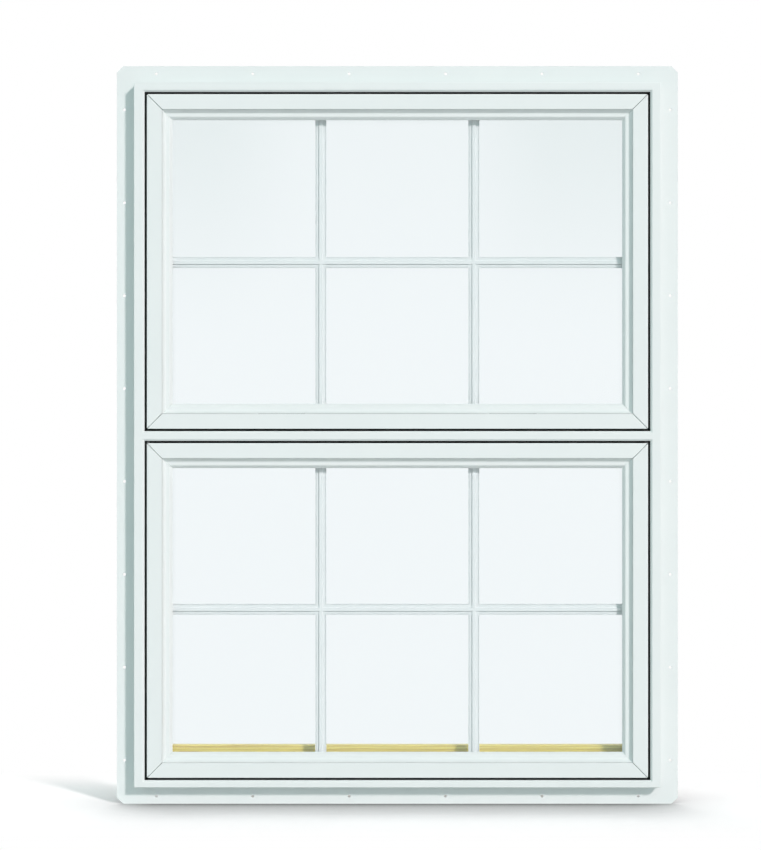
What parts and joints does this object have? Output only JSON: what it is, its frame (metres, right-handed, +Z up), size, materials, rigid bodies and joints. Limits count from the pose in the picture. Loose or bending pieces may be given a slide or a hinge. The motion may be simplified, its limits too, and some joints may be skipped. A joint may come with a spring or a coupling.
{
  "type": "double casement window",
  "caption": "White vinyl window of stacked top-hung sashes with grilles between the panes, friction stays, cam handles and a nailing fin for fixing to a framed wall.",
  "frame": {"origin": "centre of the window in the plane of the fin's back face, which lies on the wall", "axes": "+Z up, +Y from the street to the room, +X to the right seen from the street"},
  "size_m": [0.966, 0.0823, 1.27],
  "materials": {
    "vinyl": "satin white vinyl",
    "glass": "clear float glass",
    "spacer_aluminium": "mill finish",
    "enamelled_aluminium": "white enamel",
    "seal_rubber": "black EPDM",
    "block_rubber": "neoprene",
    "pine": "planed pine",
    "stainless_steel": "stamped",
    "shoe_brass": "machined",
    "handle_enamel": "white enamel on die-cast zinc"
  },
  "bodies": {
    "frame": {"outer_frame": "vinyl", "mullion": "vinyl", "nailing_fin": "vinyl", "sill_board": "pine", "upper_weatherstrip": "seal_rubber", "upper_stay_tracks": "stainless_steel", "upper_strikes": "handle_enamel", "lower_weatherstrip": "seal_rubber", "lower_stay_tracks": "stainless_steel", "lower_strikes": "handle_enamel"},
    "upper_arms": {"upper_stay_arm_left": "stainless_steel", "upper_stay_arm_right": "stainless_steel"},
    "upper_sash": {"upper_sash_frame": "vinyl", "upper_bead_top": "vinyl", "upper_bead_bottom": "vinyl", "upper_bead_left": "vinyl", "upper_bead_right": "vinyl", "upper_outer_pane": "glass", "upper_inner_pane": "glass", "upper_spacer": "spacer_aluminium", "upper_muntin_grid": "enamelled_aluminium", "upper_setting_blocks": "block_rubber", "upper_sash_arms": "stainless_steel", "upper_handle_bases": "handle_enamel"},
    "upper_shoes": {"upper_stay_shoes": "shoe_brass"},
    "upper_lock_left": {"upper_handle_left": "handle_enamel"},
    "upper_lock_right": {"upper_handle_right": "handle_enamel"},
    "lower_arms": {"lower_stay_arm_left": "stainless_steel", "lower_stay_arm_right": "stainless_steel"},
    "lower_sash": {"lower_sash_frame": "vinyl", "lower_bead_top": "vinyl", "lower_bead_bottom": "vinyl", "lower_bead_left": "vinyl", "lower_bead_right": "vinyl", "lower_outer_pane": "glass", "lower_inner_pane": "glass", "lower_spacer": "spacer_aluminium", "lower_muntin_grid": "enamelled_aluminium", "lower_setting_blocks": "block_rubber", "lower_sash_arms": "stainless_steel", "lower_handle_bases": "handle_enamel"},
    "lower_shoes": {"lower_stay_shoes": "shoe_brass"},
    "lower_lock_left": {"lower_handle_left": "handle_enamel"},
    "lower_lock_right": {"lower_handle_right": "handle_enamel"}
  },
  "joints": [
    {"name": "upper_opening", "type": "hinge", "parent": "frame", "child": "upper_arms", "pos_m": [0, 0.008, 0.3155], "axis": [1, 0, 0], "range_deg": [0, 45]},
    {"name": "upper_sash_pivot", "type": "hinge", "parent": "upper_arms", "child": "upper_sash", "pos_m": [0, 0.008, 0.4455], "axis": [1, 0, 0], "range_deg": [-90, 0]},
    {"name": "upper_shoe_pivot", "type": "hinge", "parent": "upper_sash", "child": "upper_shoes", "pos_m": [0, 0.008, 0.5755], "axis": [1, 0, 0], "range_deg": [0, 45]},
    {"name": "upper_handle_left", "type": "hinge", "parent": "upper_sash", "child": "upper_lock_left", "pos_m": [-0.404, 0.0518, 0.1405], "axis": [0, 1, 0], "range_deg": [0, 90]},
    {"name": "upper_handle_right", "type": "hinge", "parent": "upper_sash", "child": "upper_lock_right", "pos_m": [0.404, 0.0518, 0.1405], "axis": [0, -1, 0], "range_deg": [0, 90]},
    {"name": "lower_opening", "type": "hinge", "parent": "frame", "child": "lower_arms", "pos_m": [0, 0.008, -0.282], "axis": [1, 0, 0], "range_deg": [0, 45]},
    {"name": "lower_sash_pivot", "type": "hinge", "parent": "lower_arms", "child": "lower_sash", "pos_m": [0, 0.008, -0.152], "axis": [1, 0, 0], "range_deg": [-90, 0]},
    {"name": "lower_shoe_pivot", "type": "hinge", "parent": "lower_sash", "child": "lower_shoes", "pos_m": [0, 0.008, -0.022], "axis": [1, 0, 0], "range_deg": [0, 45]},
    {"name": "lower_handle_left", "type": "hinge", "parent": "lower_sash", "child": "lower_lock_left", "pos_m": [-0.404, 0.0518, -0.457], "axis": [0, 1, 0], "range_deg": [0, 90]},
    {"name": "lower_handle_right", "type": "hinge", "parent": "lower_sash", "child": "lower_lock_right", "pos_m": [0.404, 0.0518, -0.457], "axis": [0, -1, 0], "range_deg": [0, 90]}
  ],
  "couplings": [
    {"joint": "upper_sash_pivot", "follows": "upper_opening", "ratio": -2},
    {"joint": "upper_shoe_pivot", "follows": "upper_opening", "ratio": 1},
    {"joint": "lower_sash_pivot", "follows": "lower_opening", "ratio": -2},
    {"joint": "lower_shoe_pivot", "follows": "lower_opening", "ratio": 1}
  ]
}
